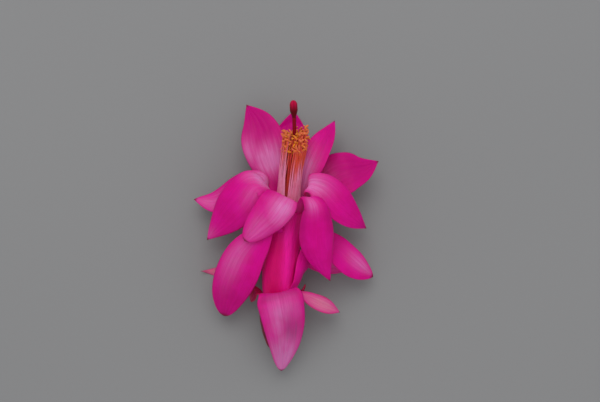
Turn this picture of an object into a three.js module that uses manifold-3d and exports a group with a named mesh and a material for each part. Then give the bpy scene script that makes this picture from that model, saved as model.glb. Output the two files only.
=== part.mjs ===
// A picked Thanksgiving cactus flower, lying on its side on a flat surface.
// Millimetres. +Z is up from the surface at z = 0, +Y runs along the flower from its ovary to its
// stigma, and +X is to the right as seen from above. The origin is on the surface, under the
// middle of the flower.
import * as THREE from "three";
import Module from "manifold-3d";

const wasm = await Module();
wasm.setup();

const GAP = 0.3; // clearance between neighbouring pieces
const BLADE = 0.66; // thickness of a tepal
const FLATTEST = 1e-4; // smallest arc, in radians, that a blade is bent by
const CLAW = 0.3; // share of a tepal's length that its claw takes up
const RIB_SPREAD = 0.3; // reach of the midrib's crease, as a share of the half width
const DEGREE = Math.PI / 180;

// The line up the middle of the flower, from the foot of the ovary to the tip of the stigma.
const AXIS_POINTS = [
  [-3.1, -33.5, 4.6],
  [-2.8, -26, 6.2],
  [-2.2, -18.8, 7.6],
  [-1.7, -8.2, 9.4],
  [-0.3, 2.2, 11.2],
  [1.1, 9.5, 12.2],
  [1.9, 21.4, 14],
  [2.5, 31.3, 15.5],
  [2.2, 40.2, 16.8],
];
const axis = new THREE.CatmullRomCurve3(AXIS_POINTS.map((p) => new THREE.Vector3(...p)));
const AXIS_LENGTH = axis.getLength();

// Places along that line, in millimetres from the foot of the ovary.
const OVARY_TOP = 14.6;
const TUBE_FOOT = OVARY_TOP + GAP;
const MOUTH = 42.8;
const STIGMA_LENGTH = 5;
const STIGMA_FOOT = AXIS_LENGTH - STIGMA_LENGTH;

// Round bodies are profiles of [place, radius].
const OVARY_SIDES = 20;
const OVARY_PROFILE = [
  [0, 1.9],
  [0.8, 2.6],
  [4.5, 4.2],
  [9, 5.4],
  [12, 5.5],
  [OVARY_TOP, 4.5],
];
const TUBE_SIDES = 30;
const MOUTH_RADIUS = 4.9;
const TUBE_PROFILE = [
  [TUBE_FOOT, 4.5],
  [18.5, 5.2],
  [24, 5.4],
  [31, 5.1],
  [38, 4.8],
  [MOUTH, MOUTH_RADIUS],
];
const TUBE_WALL = 0.9;
const TUBE_RIDGES = 5;
const TUBE_RIDGE_HEIGHT = 0.16;
const RIM_RADIUS = MOUTH_RADIUS - TUBE_WALL / 2; // middle of the wall at the mouth

const STYLE_RADIUS = 0.62;
const STYLE_SIDES = 10;
const STYLE_RINGS = 14;
const STIGMA_PROFILE = [
  [0, 0.62],
  [1, 0.9],
  [2.6, 1.15],
  [4, 1.05],
  [4.8, 0.6],
  [STIGMA_LENGTH, 0.2],
];
const STIGMA_LOBES = 6;
const STIGMA_SIDES = 4 * STIGMA_LOBES;
const STIGMA_RIB = 0.1; // height of a lobe, as a share of the radius

const STAMEN_SIDES = 4;
const FILAMENT = 0.28; // radius
const FILAMENT_RINGS = [0, 0.3, 0.55, 0.78]; // shares of the length, up to the anther
const ANTHER = 0.46; // radius
const ANTHER_LENGTH = 1.7;
const ANTHER_RINGS = [0.33, 0.8]; // shares of the anther
const ANTHER_NOD = 75; // most that an anther leans from its filament, in degrees
const COLLAR_HEIGHT = 1.6; // height of the ring that joins a bunch of filaments
const COLLAR_SIDES = 20;
// "foot" and "reach" are places along the axis, "ring" is the collar's inner and outer radius,
// "sway" is in degrees round the axis and "spread" is [share of the length, distance from the axis].
const INNER_STAMENS = {
  count: 16, seed: 7, foot: 27, ring: [1, 1.9], reach: [59.5, 66.5], sway: 60,
  spread: [[0, 1.5], [0.5, 1.6], [1, 1.9]],
};
const OUTER_STAMENS = {
  count: 26, seed: 21, foot: 35, ring: [3, 3.7], reach: [58.5, 67], sway: 30,
  spread: [[0, 3.3], [0.7, 3.4], [1, 3.5]],
};

// The point on the axis at a distance from its foot, with the directions ahead, right and up.
function station(along) {
  const share = THREE.MathUtils.clamp(along / AXIS_LENGTH, 0, 1);
  const centre = axis.getPointAt(share);
  const ahead = axis.getTangentAt(share);
  const side = new THREE.Vector3().crossVectors(ahead, new THREE.Vector3(0, 0, 1)).normalize();
  const up = new THREE.Vector3().crossVectors(side, ahead);
  return { centre, ahead, side, up };
}

// The direction out from the axis: 0 degrees is right and 90 is up.
function outward({ side, up }, degrees) {
  const turn = degrees * DEGREE;
  return side.clone().multiplyScalar(Math.cos(turn)).addScaledVector(up, Math.sin(turn));
}

function interpolate(profile, at) {
  const next = profile.findIndex(([x]) => x >= at);
  if (next < 0) return profile[profile.length - 1][1];
  if (next === 0) return profile[0][1];
  const [x0, y0] = profile[next - 1];
  const [x1, y1] = profile[next];
  return THREE.MathUtils.mapLinear(at, x0, x1, y0, y1);
}

function tubeRadius(along, degrees) {
  const ridge = TUBE_RIDGE_HEIGHT * Math.cos(TUBE_RIDGES * degrees * DEGREE);
  return interpolate(TUBE_PROFILE, along) + ridge;
}

// A closed surface from a grid of points: rows of rings, each ring closed on itself.
// With joinEnds the last ring meets the first, and otherwise each end is closed with a fan.
function ringSolid(rings, joinEnds = false) {
  const count = rings[0].length;
  const points = rings.flat();
  const faces = [];
  const rows = joinEnds ? rings.length : rings.length - 1;
  for (let row = 0; row < rows; row++) {
    const here = row * count;
    const there = ((row + 1) % rings.length) * count;
    for (let k = 0; k < count; k++) {
      const next = (k + 1) % count;
      faces.push(here + k, here + next, there + next, here + k, there + next, there + k);
    }
  }
  if (!joinEnds) {
    const last = (rings.length - 1) * count;
    for (const [first, flip] of [[0, true], [last, false]]) {
      const middle = new THREE.Vector3();
      for (let k = 0; k < count; k++) middle.addScaledVector(points[first + k], 1 / count);
      const hub = points.push(middle) - 1;
      for (let k = 0; k < count; k++) {
        const next = first + ((k + 1) % count);
        faces.push(...(flip ? [hub, next, first + k] : [hub, first + k, next]));
      }
    }
  }
  return facingOut(points, faces);
}

// A geometry whose faces point out, whichever way round they were listed.
function facingOut(points, faces) {
  let volume = 0;
  for (let i = 0; i < faces.length; i += 3) {
    const [a, b, c] = [points[faces[i]], points[faces[i + 1]], points[faces[i + 2]]];
    volume += a.dot(new THREE.Vector3().crossVectors(b, c));
  }
  if (volume < 0) faces.reverse();
  const geometry = new THREE.BufferGeometry().setFromPoints(points);
  geometry.setIndex(faces);
  return geometry;
}

function toManifold({ attributes, index }) {
  return new wasm.Manifold(
    new wasm.Mesh({
      numProp: 3,
      vertProperties: new Float32Array(attributes.position.array),
      triVerts: new Uint32Array(index.array),
    }),
  );
}

function toGeometry(manifold) {
  const { vertProperties, triVerts } = manifold.getMesh();
  const geometry = new THREE.BufferGeometry();
  geometry.setAttribute("position", new THREE.BufferAttribute(new Float32Array(vertProperties), 3));
  geometry.setIndex(new THREE.BufferAttribute(new Uint32Array(triVerts), 1));
  return geometry;
}

// The half width of a blade at a share s of its length: a claw that widens to the blade's full
// width at "widest" and closes in to the tip. A taper of 1 is a straight-sided point, less is a
// rounder end and more a drawn-out one, and a swell over 1 keeps the claw slim for longer.
function halfWidth({ root, width, widest, swell, taper }, s) {
  const opening = Math.sin((Math.PI / 2) * Math.min(1, s / widest)) ** swell;
  const closing = Math.cos((Math.PI / 2) * Math.max(0, (s - widest) / (1 - widest))) ** taper;
  const shoulder = opening * closing;
  const claw = (root / 2) * (1 - s) ** 3;
  return Math.max(Math.hypot((shoulder * width) / 2, claw), BLADE / 2);
}

// The angle about an axis that turns one direction to another, both square to the axis.
function angleAbout(along, from, to) {
  const sine = new THREE.Vector3().crossVectors(from, to).dot(along);
  return Math.atan2(sine, from.dot(to));
}

function squareTo(along, direction) {
  return direction.clone().addScaledVector(along, -direction.dot(along)).normalize();
}

// The middle surface of a tepal: rows of points from its root to its tip, across the blade.
// By the root the blade's width runs round the axis, and past the claw it lies along "lies".
function tepalSurface(spec) {
  const { seat, angle, lift, lead, root, route, cup, crease, rows, columns } = spec;
  const place = station(seat);
  const radial = outward(place, angle);
  const reach = seat > MOUTH ? RIM_RADIUS : tubeRadius(seat, angle) + GAP + BLADE / 2;
  const start = place.centre.clone().addScaledVector(radial, reach);
  const leaving = place.ahead.clone().multiplyScalar(Math.cos(lift * DEGREE));
  leaving.addScaledVector(radial, Math.sin(lift * DEGREE));
  const points = [start, start.clone().addScaledVector(leaving, lead)];
  for (const p of route) points.push(new THREE.Vector3(...p));
  const midrib = new THREE.CatmullRomCurve3(points);
  midrib.arcLengthDivisions = 400;

  const lies = new THREE.Vector3(...spec.lies);
  const surface = [];
  const across = new THREE.Vector3().crossVectors(radial, place.ahead);
  let before = null;
  for (let row = 0; row <= rows; row++) {
    const s = row / rows;
    const centre = midrib.getPointAt(s);
    const tangent = midrib.getTangentAt(s);
    if (before) across.applyQuaternion(new THREE.Quaternion().setFromUnitVectors(before, tangent));
    across.copy(squareTo(tangent, across));
    before = tangent;
    const turned = THREE.MathUtils.smoothstep(s, 0, CLAW);
    const turn = angleAbout(tangent, across, squareTo(tangent, lies)) * turned;
    const width = across.clone().applyAxisAngle(tangent, turn);
    const face = new THREE.Vector3().crossVectors(width, tangent);
    const half = halfWidth(spec, s);
    const bladeArc = THREE.MathUtils.lerp(cup[0], cup[1], s) * DEGREE;
    const arc = THREE.MathUtils.lerp(root / 2 / reach, bladeArc, Math.min(1, s / CLAW)) || FLATTEST;
    const line = [];
    for (let column = 0; column <= columns; column++) {
      const t = (2 * column) / columns - 1;
      const out = (half * Math.sin(t * arc)) / arc;
      const rib = crease * Math.sin(Math.PI * s) * Math.exp(-((t / RIB_SPREAD) ** 2));
      const rise = (half * (1 - Math.cos(t * arc))) / arc - rib;
      line.push(centre.clone().addScaledVector(width, out).addScaledVector(face, rise));
    }
    surface.push(line);
  }
  return surface;
}

// The blade's two faces, half a thickness each side of its middle surface. Where it would reach
// below the surface it lies on, it is pressed flat against it.
function tepal(spec) {
  const { rows, columns } = spec;
  const middle = tepalSurface(spec);
  const faces = [];
  const points = [];
  const half = BLADE / 2;
  for (let row = 0; row <= rows; row++) {
    for (let column = 0; column <= columns; column++) {
      const up = middle[Math.min(row + 1, rows)][column];
      const down = middle[Math.max(row - 1, 0)][column];
      const right = middle[row][Math.min(column + 1, columns)];
      const left = middle[row][Math.max(column - 1, 0)];
      const normal = new THREE.Vector3().crossVectors(right.clone().sub(left), up.clone().sub(down));
      normal.normalize().multiplyScalar(half);
      const lowest = middle[row][column].z - Math.abs(normal.z);
      const pressed = middle[row][column].clone();
      pressed.z += Math.max(0, -lowest);
      points.push(pressed.clone().add(normal), pressed.clone().sub(normal));
    }
  }
  const at = (row, column, side) => 2 * (row * (columns + 1) + column) + side;
  const quad = (a, b, c, d) => faces.push(a, b, c, a, c, d);
  for (let row = 0; row < rows; row++) {
    for (let column = 0; column < columns; column++) {
      const corners = [[row, column], [row, column + 1], [row + 1, column + 1], [row + 1, column]];
      const [a, b, c, d] = corners.map(([r, k]) => at(r, k, 0));
      const [e, f, g, h] = corners.map(([r, k]) => at(r, k, 1));
      faces.push(a, b, c, a, c, d, e, g, f, e, h, g);
    }
    quad(at(row, 0, 0), at(row + 1, 0, 0), at(row + 1, 0, 1), at(row, 0, 1));
    quad(at(row, columns, 1), at(row + 1, columns, 1), at(row + 1, columns, 0), at(row, columns, 0));
  }
  for (let column = 0; column < columns; column++) {
    quad(at(0, column, 1), at(0, column + 1, 1), at(0, column + 1, 0), at(0, column, 0));
    quad(at(rows, column, 0), at(rows, column + 1, 0), at(rows, column + 1, 1), at(rows, column, 1));
  }
  return facingOut(points, faces);
}

// Three whorls of tepals. Angles go round the axis, 0 at the right and 90 on top. "seat" is the
// place along the axis. The midrib leaves it at "lift" degrees for "lead" millimetres and passes
// through "route" on its way to the tip, and past the claw the blade's width lies along "lies".
// "cup" is how far the blade is bent across, in degrees, after the claw and at the tip.
const BLADE_FORM = {
  lift: 12, lead: 2, widest: 0.55, swell: 1, taper: 1, cup: [15, 10], crease: 0.2, rows: 14, columns: 6,
};
const SMALL = { rows: 9, columns: 4 };
const INNER = { ...BLADE_FORM, seat: MOUTH + GAP, root: 3 };
const RIM = { ...BLADE_FORM, seat: MOUTH - 2.4, lift: 24, lead: 3, root: 3.4 };
const MIDDLE = { ...BLADE_FORM, seat: 19.5, lift: 22, lead: 3, root: 5 };
const OUTER = { ...BLADE_FORM, seat: 16.2, lift: 35, lead: 1.5, root: 4 };

const TEPALS = {
  inner_tepal_top_left: {
    ...INNER, angle: 115, root: 4.6, width: 11.3, widest: 0.38, taper: 0.48, lift: 45,
    lies: [-0.9, 0.43, 0], cup: [-10, -25],
    route: [
      [-0.6, 12.1, 19.8], [-2, 10.3, 21.8], [-4.4, 7.1, 22],
      [-7, 4.3, 21.1], [-9.4, 1.8, 20], [-11.9, -0.8, 18.8],
    ],
  },
  inner_tepal_top_right: {
    ...INNER, angle: 55, root: 4.6, width: 10.9, widest: 0.56, swell: 1.5, lift: 40,
    lies: [-1, 0, 0.14], cup: [-31, -38],
    route: [
      [6.6, 11.8, 20.9], [8.6, 9.3, 22], [9, 3.6, 20.2],
      [9.3, -2, 18.1], [10.6, -7.4, 15], [13.1, -12.9, 11],
    ],
  },
  inner_tepal_left: {
    ...INNER, angle: 180, root: 2.6, width: 12.4, widest: 0.54, swell: 1.3, taper: 1,
    lies: [-0.6, 0.78, -0.1], cup: [-12, -8],
    route: [
      [-6.6, 15.3, 17], [-9.6, 15.4, 18.7], [-13.7, 10.4, 17.3], [-18.6, 4.9, 12.6], [-23.6, -0.8, 7.5],
    ],
  },
  inner_tepal_far_left: {
    ...RIM, angle: 190, seat: MOUTH - 3.4, root: 2.2, width: 10.9, swell: 2.2, taper: 0.9,
    lies: [0, 0.9, -0.4],
    route: [
      [-7.2, 16.4, 11.4], [-10.3, 16, 11.7], [-15.3, 12.6, 10.4], [-21.7, 10.6, 6.5], [-27.7, 11.3, 4.5],
    ],
  },
  inner_tepal_front_left: {
    ...INNER, angle: 236, root: 3, width: 13.1, widest: 0.58, swell: 1.3, lies: [0.93, 0.35, 0.04],
    cup: [4, 10],
    route: [[-4.9, 21.5, 8.7], [-6.5, 27.4, 9.1], [-8.5, 34, 8], [-11.9, 39.7, 5]],
  },
  inner_tepal_front_middle: {
    ...RIM, angle: 272, root: 5, width: 13.2, widest: 0.6, taper: 0.85, lies: [1, 0, 0], cup: [15, 5],
    route: [[1.1, 21.6, 3.5], [1.4, 29.3, -0.5], [2.3, 38, 1.2]],
  },
  inner_tepal_front_right: {
    ...INNER, angle: 308, root: 2.5, width: 9.3, swell: 1.7, lies: [0.83, -0.2, 0.5],
    route: [[7.2, 20.6, 12.1], [9.3, 25.5, 12.4], [11.7, 30.1, 10], [14.6, 34.9, 6]],
  },
  inner_tepal_far_right: {
    ...RIM, angle: 354, seat: MOUTH - 4, lift: 36, root: 2.2, width: 14.2, widest: 0.52, swell: 2.1,
    lies: [0.2, -0.95, 0.22],
    route: [[11.2, 13.2, 9], [14.3, 17.4, 9.8], [18.3, 19.3, 10.5], [22.8, 20.4, 9.2], [27.6, 22.7, 7]],
  },
  inner_tepal_right: {
    ...INNER, angle: 1, root: 2.4, width: 10, swell: 1.4, lift: 25, lies: [-0.3, -0.85, 0.1],
    route: [[6.9, 15.5, 16.8], [10.6, 14.7, 17.7], [16.2, 9.2, 15.5], [20.3, 5.4, 11.4], [24, 2.6, 7]],
  },
  middle_tepal_left: {
    ...MIDDLE, angle: 121, seat: 36.8, root: 4.4, width: 12.8, widest: 0.6, swell: 1.3, taper: 0.56,
    lift: 30, lead: 1.2, lies: [-0.78, 0.4, 0], cup: [-20, 8],
    route: [
      [-3.8, 6.2, 17.5], [-4.8, 6.1, 18.4], [-6.3, 3.1, 18.2], [-8.8, -1.1, 17.3], [-12, -5.6, 15.6],
      [-14.4, -10.6, 13.4], [-17.1, -17.2, 9.5], [-18.7, -23.7, 5],
    ],
  },
  middle_tepal_right: {
    ...MIDDLE, angle: 23.5, root: 6, width: 8.7, widest: 0.7, taper: 0.7, lift: 12, lead: 5,
    lies: [-0.8, -0.5, 0.35],
    route: [
      [6.3, -5.4, 11.3], [8.2, -2.1, 11.5], [10.6, -1.4, 11.4], [14.5, -3.2, 10.4],
      [18.7, -7, 9], [22.2, -9.7, 7], [26.1, -12, 4.5],
    ],
  },
  middle_tepal_under_left: {
    ...MIDDLE, ...SMALL, angle: 206, seat: 24, width: 4.8, taper: 1.3, lies: [0, 1, 0],
    route: [[-10, -9, 4], [-14.8, -10.3, 1], [-21.5, -10.7, -0.6], [-26, -10.4, 1.4]],
  },
  middle_tepal_under_right: {
    ...MIDDLE, ...SMALL, angle: 330, seat: 24, width: 7, lies: [0, -1, 0],
    route: [[10.2, -7.5, 3.6], [17.2, -8.3, -0.6], [22.9, -9.4, 1.4]],
  },
  outer_tepal_top: {
    ...OUTER, angle: 88, root: 6.4, width: 13.4, widest: 0.2, taper: 0.62, lies: [-1, -0.4, 0],
    cup: [-6, -14],
    route: [
      [-2.2, -16.2, 15.7], [-1.5, -18.7, 17], [-0.4, -25.6, 14.5], [-0.3, -31.8, 10.5], [-1.4, -40.2, 5],
    ],
  },
  outer_tepal_right: {
    ...OUTER, ...SMALL, angle: 12, width: 5, lies: [-0.25, -0.85, 0.35],
    route: [[8.6, -19, 9.5], [12.4, -20.7, 8], [16.1, -22.6, 5]],
  },
  outer_tepal_left: {
    ...OUTER, ...SMALL, angle: 176, width: 3.6, lies: [-0.4, 0.6, -0.2],
    route: [[-9.3, -15.9, 9], [-10.5, -19.5, 6]],
  },
  outer_scale: {
    ...OUTER, ...SMALL, angle: 336, lift: 30, lead: 0.8, root: 2, width: 2.9, lies: [0, 0, 1],
    route: [[4.9, -15.8, 6.5], [5.7, -14, 7.2]],
  },
  outer_tepal_under_left: {
    ...OUTER, ...SMALL, angle: 236, width: 6, lies: [1, 0, 0],
    route: [[-4.7, -21, 0.9], [-4.8, -25, -0.5], [-5, -29, 0.6]],
  },
  outer_tepal_under_right: {
    ...OUTER, ...SMALL, angle: 306, width: 6, lies: [1, 0, 0],
    route: [[1.8, -21, 0.9], [2.3, -25, -0.5], [2.6, -29, 0.6]],
  },
};

const tepalMaterial = new THREE.MeshStandardMaterial({ color: 0xd41a86, roughness: 0.5, metalness: 0 });
const tubeMaterial = new THREE.MeshStandardMaterial({ color: 0xb80f5c, roughness: 0.45, metalness: 0 });
const styleMaterial = new THREE.MeshStandardMaterial({ color: 0xb01c4e, roughness: 0.45, metalness: 0 });
const stigmaMaterial = new THREE.MeshStandardMaterial({ color: 0xa0103c, roughness: 0.5, metalness: 0 });
const stamenMaterial = new THREE.MeshStandardMaterial({ color: 0xe0907a, roughness: 0.6, metalness: 0 });
const ovaryMaterial = new THREE.MeshStandardMaterial({ color: 0x6d1430, roughness: 0.5, metalness: 0 });

// A round body swept along the axis, with its radius from a profile.
function roundAlongAxis(profile, sides, radiusAt = (along) => interpolate(profile, along)) {
  const rings = profile.map(([along]) => {
    const place = station(along);
    return Array.from({ length: sides }, (_, k) => {
      const degrees = (360 * k) / sides;
      return place.centre.clone().addScaledVector(outward(place, degrees), radiusAt(along, degrees));
    });
  });
  return rings;
}

function ovary() {
  return ringSolid(roundAlongAxis(OVARY_PROFILE, OVARY_SIDES));
}

function floralTube() {
  const outer = roundAlongAxis(TUBE_PROFILE, TUBE_SIDES, tubeRadius);
  const inside = (along, degrees) => tubeRadius(along, degrees) - TUBE_WALL;
  const inner = roundAlongAxis(TUBE_PROFILE, TUBE_SIDES, inside);
  return ringSolid([...outer, ...inner.reverse()], true);
}

// A rod along a curve through some points, closed at both ends, with a ring of its own radius at
// each stop: [share of the length, radius].
function rod(points, stops, sides) {
  const line = new THREE.CatmullRomCurve3(points);
  const rings = [];
  const side = new THREE.Vector3(1, 0, 0);
  let before = null;
  for (const [share, radius] of stops) {
    const tangent = line.getTangentAt(share);
    if (before) side.applyQuaternion(new THREE.Quaternion().setFromUnitVectors(before, tangent));
    side.copy(squareTo(tangent, side));
    before = tangent;
    const other = new THREE.Vector3().crossVectors(tangent, side);
    const centre = line.getPointAt(share);
    const ring = [];
    for (let k = 0; k < sides; k++) {
      const turn = (2 * Math.PI * k) / sides;
      const point = centre.clone().addScaledVector(side, radius * Math.cos(turn));
      ring.push(point.addScaledVector(other, radius * Math.sin(turn)));
    }
    rings.push(ring);
  }
  return ringSolid(rings);
}

// A small repeatable stream of numbers from 0 to 1.
function seededDraws(seed) {
  let state = seed;
  return () => {
    state = (state * 1664525 + 1013904223) % 4294967296;
    return state / 4294967296;
  };
}

function pointNearAxis(along, degrees, radius) {
  const place = station(along);
  return place.centre.addScaledVector(outward(place, degrees), radius);
}

// A bunch of stamens: filaments that stand on a collar round the axis and follow it out of the
// mouth, each with an anther at its end.
function stamens({ count, seed, foot, ring, reach, spread, sway }) {
  const draw = seededDraws(seed);
  const [inner, outer] = ring.map((radius) =>
    roundAlongAxis([[foot - COLLAR_HEIGHT, radius], [foot, radius]], COLLAR_SIDES));
  const pieces = [toManifold(ringSolid([...outer, ...inner.reverse()], true))];
  for (let k = 0; k < count; k++) {
    const angle = (360 * (k + 0.5 * draw())) / count;
    const length = THREE.MathUtils.lerp(reach[0], reach[1], draw());
    const lean = sway * (draw() - 0.5);
    const points = [0, 0.25, 0.5, 0.75, 1].map((share) => {
      const along = THREE.MathUtils.lerp(foot - COLLAR_HEIGHT / 2, length, share);
      return pointNearAxis(along, angle + lean * share ** 3, interpolate(spread, share));
    });
    const place = station(length);
    const nod = ANTHER_NOD * (2 * draw() - 1) * DEGREE;
    const round = new THREE.Vector3().crossVectors(place.ahead, outward(place, angle + lean));
    const anther = place.ahead.clone().multiplyScalar(Math.cos(nod)).addScaledVector(round, Math.sin(nod));
    points.push(points[points.length - 1].clone().addScaledVector(anther, ANTHER_LENGTH));
    const neck = 1 - ANTHER_LENGTH / (length - foot);
    const stops = [...FILAMENT_RINGS, neck].map((share) => [share, FILAMENT]);
    for (const share of ANTHER_RINGS) stops.push([THREE.MathUtils.lerp(neck, 1, share), ANTHER]);
    stops.push([1, FILAMENT / 2]);
    pieces.push(toManifold(rod(points, stops, STAMEN_SIDES)));
  }
  return toGeometry(wasm.Manifold.union(pieces));
}

function style() {
  const stops = [];
  const points = [];
  for (let ring = 0; ring <= STYLE_RINGS; ring++) {
    const share = ring / STYLE_RINGS;
    points.push(pointNearAxis(THREE.MathUtils.lerp(TUBE_FOOT, STIGMA_FOOT - GAP, share), 0, 0));
    stops.push([share, STYLE_RADIUS]);
  }
  return rod(points, stops, STYLE_SIDES);
}

// The stigma's lobes are closed together into a ribbed club.
function stigma() {
  return ringSolid(
    roundAlongAxis(
      STIGMA_PROFILE.map(([x, r]) => [STIGMA_FOOT + x, r]),
      STIGMA_SIDES,
      (along, degrees) => {
        const radius = interpolate(STIGMA_PROFILE, along - STIGMA_FOOT);
        return radius * (1 + STIGMA_RIB * Math.cos(STIGMA_LOBES * degrees * DEGREE));
      },
    ),
  );
}

const flower = new THREE.Group();
function add(name, geometry, material) {
  const mesh = new THREE.Mesh(geometry, material);
  mesh.name = name;
  flower.add(mesh);
}

add("ovary", ovary(), ovaryMaterial);
add("floral_tube", floralTube(), tubeMaterial);
add("style", style(), styleMaterial);
add("stigma", stigma(), stigmaMaterial);
add("inner_stamens", stamens(INNER_STAMENS), stamenMaterial);
add("outer_stamens", stamens(OUTER_STAMENS), stamenMaterial);
for (const [name, spec] of Object.entries(TEPALS)) add(name, tepal(spec), tepalMaterial);

export default flower;
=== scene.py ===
"""A picked Thanksgiving cactus flower, lying on its side on a pale surface.

Lengths are in millimetres until a piece's mesh is made, in metres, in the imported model's frame:
+Z up from the surface, +Y along the flower from its ovary to its stigma, +X to the right.
"""

import math

import bpy
import numpy as np
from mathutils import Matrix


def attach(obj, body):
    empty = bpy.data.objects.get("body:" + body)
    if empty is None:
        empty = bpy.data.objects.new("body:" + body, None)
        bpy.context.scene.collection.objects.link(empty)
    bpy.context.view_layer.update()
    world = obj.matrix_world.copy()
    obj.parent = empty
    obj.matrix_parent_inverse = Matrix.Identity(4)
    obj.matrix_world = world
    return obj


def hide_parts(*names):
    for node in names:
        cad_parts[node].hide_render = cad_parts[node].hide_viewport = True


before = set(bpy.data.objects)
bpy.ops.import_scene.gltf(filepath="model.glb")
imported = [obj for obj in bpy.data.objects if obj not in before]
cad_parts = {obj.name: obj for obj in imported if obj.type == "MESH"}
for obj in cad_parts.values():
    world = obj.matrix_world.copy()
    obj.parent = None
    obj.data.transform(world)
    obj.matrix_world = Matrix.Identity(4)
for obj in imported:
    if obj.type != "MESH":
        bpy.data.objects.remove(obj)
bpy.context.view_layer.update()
MM = 0.001
TINY = 1e-4

# The flower's form, with the same values as its solids.
GAP = 0.3  # between pieces that are one in a real flower
BLADE = 0.66  # thickness of a solid's blade
CLAW = 0.3  # share of its length in which a blade turns from its seat to its own lie
CREASE_REACH = 0.3  # share of the half width that the midrib's crease takes up
AXIS_POINTS = [
    (-3.1, -33.5, 4.6), (-2.8, -26, 6.2), (-2.2, -18.8, 7.6), (-1.7, -8.2, 9.4),
    (-0.3, 2.2, 11.2), (1.1, 9.5, 12.2), (1.9, 21.4, 14), (2.5, 31.3, 15.5), (2.2, 40.2, 16.8),
]
OVARY_TOP = 14.6
TUBE_FOOT = OVARY_TOP + GAP
MOUTH = 42.8
MOUTH_RADIUS = 4.9
OVARY_PROFILE = [(0, 1.9), (0.8, 2.6), (4.5, 4.2), (9, 5.4), (12, 5.5), (OVARY_TOP, 4.5)]
TUBE_PROFILE = [
    (TUBE_FOOT, 4.5), (18.5, 5.2), (24, 5.4), (31, 5.1), (38, 4.8), (MOUTH, MOUTH_RADIUS),
]
TUBE_WALL = 0.9
TUBE_RIDGES = 5
TUBE_RIDGE_HEIGHT = 0.16
RIM_RADIUS = MOUTH_RADIUS - TUBE_WALL / 2
STYLE_RADIUS = 0.62
STIGMA_LENGTH = 5
STIGMA_LOBES = 6

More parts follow.
